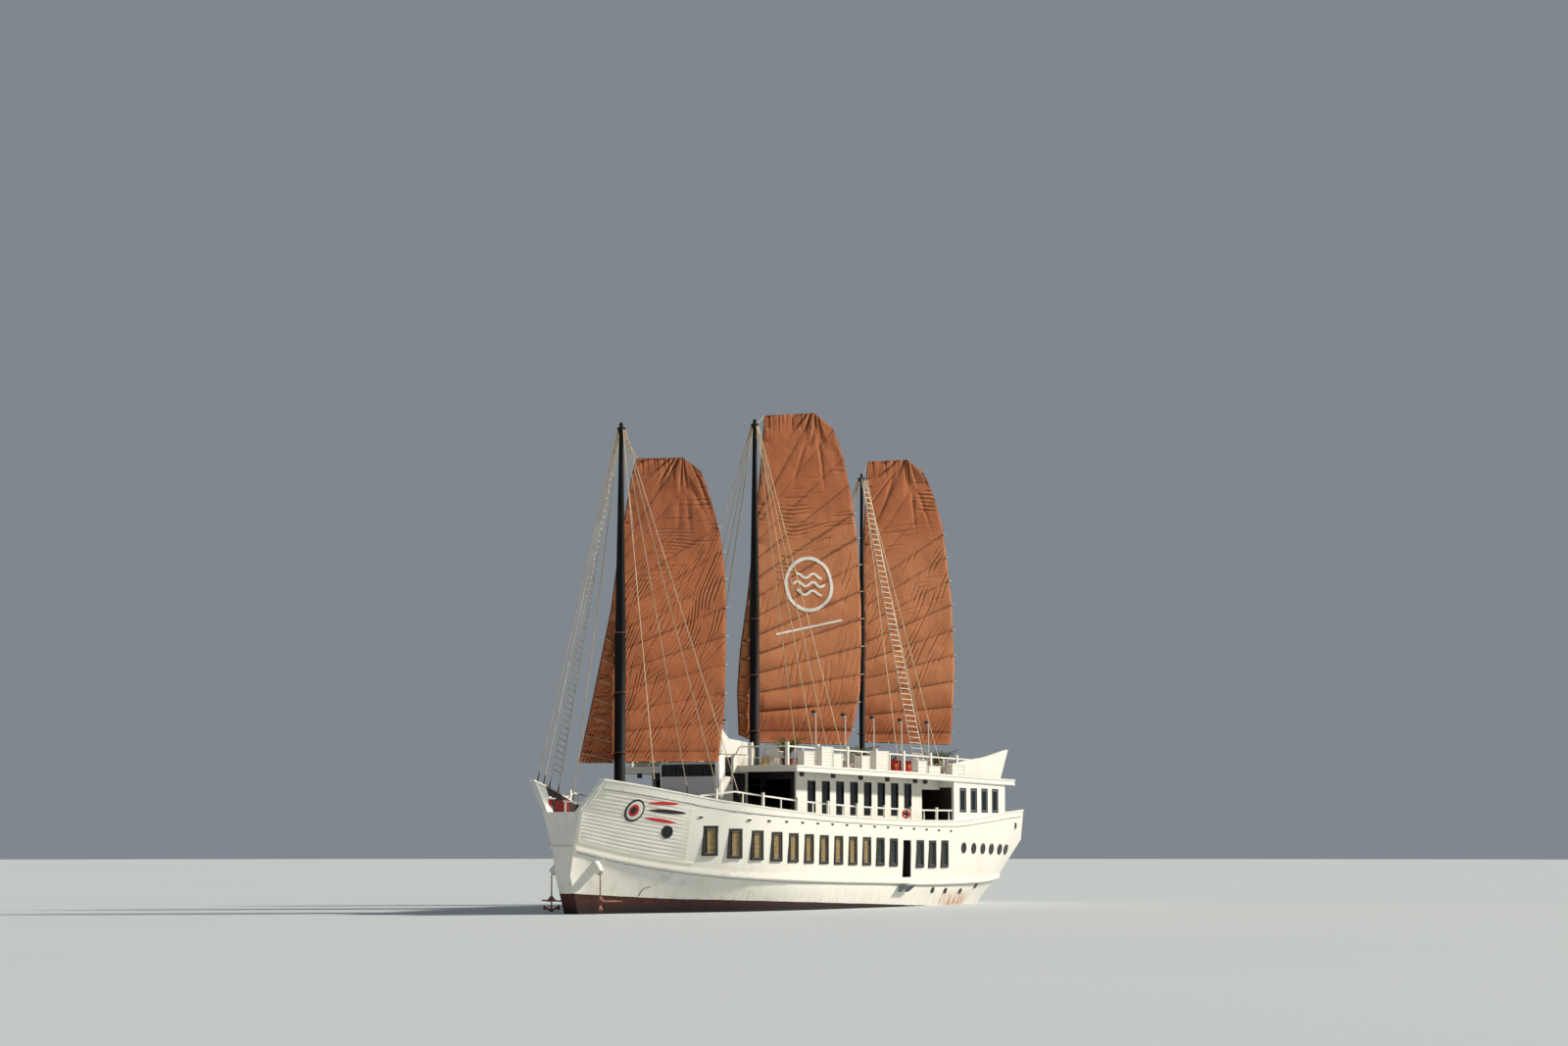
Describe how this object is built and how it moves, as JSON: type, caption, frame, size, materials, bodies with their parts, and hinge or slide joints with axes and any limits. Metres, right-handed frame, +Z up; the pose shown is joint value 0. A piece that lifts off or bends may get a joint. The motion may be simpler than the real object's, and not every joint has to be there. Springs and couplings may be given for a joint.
{
  "type": "chinese junk cruise ship",
  "caption": "Steel cruise ship in the style of a Chinese junk, with a horned bow, deckhouses, a sun deck and tall battened sails that swing on their masts.",
  "frame": {"origin": "amidships on the centreline at the waterline", "axes": "+X towards the bow, +Y to port, +Z up"},
  "size_m": [37.2, 10.7645, 26.7103],
  "materials": {
    "hull_paint": "satin",
    "white_paint": "satin",
    "grey_paint": "satin",
    "black_paint": "satin",
    "red_paint": "satin",
    "antifouling": "matte",
    "dark_iron": "matte",
    "rusty_iron": "rusty",
    "bronze": "satin",
    "sail_cloth": "matte",
    "batten_wood": "weathered",
    "stay_rope": "matte"
  },
  "bodies": {
    "root": {"rub_rail_port": "white_paint", "rub_rail_stbd": "white_paint", "guard_rail_port": "white_paint", "guard_rail_stbd": "white_paint", "stern_fin_port": "white_paint", "stern_fin_stbd": "white_paint", "roof": "white_paint", "deckhouse": "white_paint", "afthouse": "white_paint", "wheelhouse": "white_paint", "wheelhouse_floor": "white_paint", "bridge_coaming": "white_paint", "sun_rail": "white_paint", "hawse_port": "white_paint", "hawse_stbd": "white_paint", "deck_units_port": "white_paint", "deck_units_stbd": "white_paint", "hull": "hull_paint", "skeg": "antifouling", "anchor_port": "rusty_iron", "anchor_stbd": "rusty_iron", "windlass": "red_paint", "bow_bitts": "dark_iron", "stern_bitts": "dark_iron", "fore_mast": "black_paint", "fore_port_stays": "stay_rope", "fore_stbd_stays": "stay_rope", "main_mast": "black_paint", "main_port_stays": "stay_rope", "main_stbd_stays": "stay_rope", "mizzen_mast": "black_paint", "mizzen_port_stays": "stay_rope", "mizzen_stbd_stays": "stay_rope", "boarding_step": "grey_paint"},
    "fore_rig": {"fore_sail": "sail_cloth", "fore_battens": "batten_wood"},
    "main_rig": {"main_sail": "sail_cloth", "main_battens": "batten_wood"},
    "mizzen_rig": {"mizzen_sail": "sail_cloth", "mizzen_battens": "batten_wood"},
    "wheelhouse_door": {"wheelhouse_door": "white_paint"},
    "boarding_door": {"boarding_door": "white_paint"},
    "propeller": {"propeller": "bronze"},
    "rudder": {"rudder": "antifouling"}
  },
  "joints": [
    {"name": "fore_sail_swing", "type": "hinge", "parent": "root", "child": "fore_rig", "pos_m": [13.91, 0, 6.83], "axis": [0, 0, 1], "range_deg": [-15, 50]},
    {"name": "main_sail_swing", "type": "hinge", "parent": "root", "child": "main_rig", "pos_m": [1.98, 0, 8.1], "axis": [0, 0, 1], "range_deg": [-15, 50]},
    {"name": "mizzen_sail_swing", "type": "hinge", "parent": "root", "child": "mizzen_rig", "pos_m": [-8.81, 0, 8.38], "axis": [0, 0, 1], "range_deg": [-15, 50]},
    {"name": "wheelhouse_door_hinge", "type": "hinge", "parent": "root", "child": "wheelhouse_door", "pos_m": [7.56, 1.71, 6.2], "axis": [0, 0, -1], "range_deg": [0, 95]},
    {"name": "boarding_door_hinge", "type": "hinge", "parent": "root", "child": "boarding_door", "pos_m": [-4.61, 5.1, 2.38], "axis": [0, 0, 1], "range_deg": [0, 90]},
    {"name": "propeller_turn", "type": "hinge", "parent": "root", "child": "propeller", "pos_m": [-13.3, 0, -1.5], "axis": [1, 0, 0], "continuous": true},
    {"name": "rudder_turn", "type": "hinge", "parent": "root", "child": "rudder", "pos_m": [-14.65, 0, -1], "axis": [0, 0, 1], "range_deg": [-35, 35]}
  ]
}
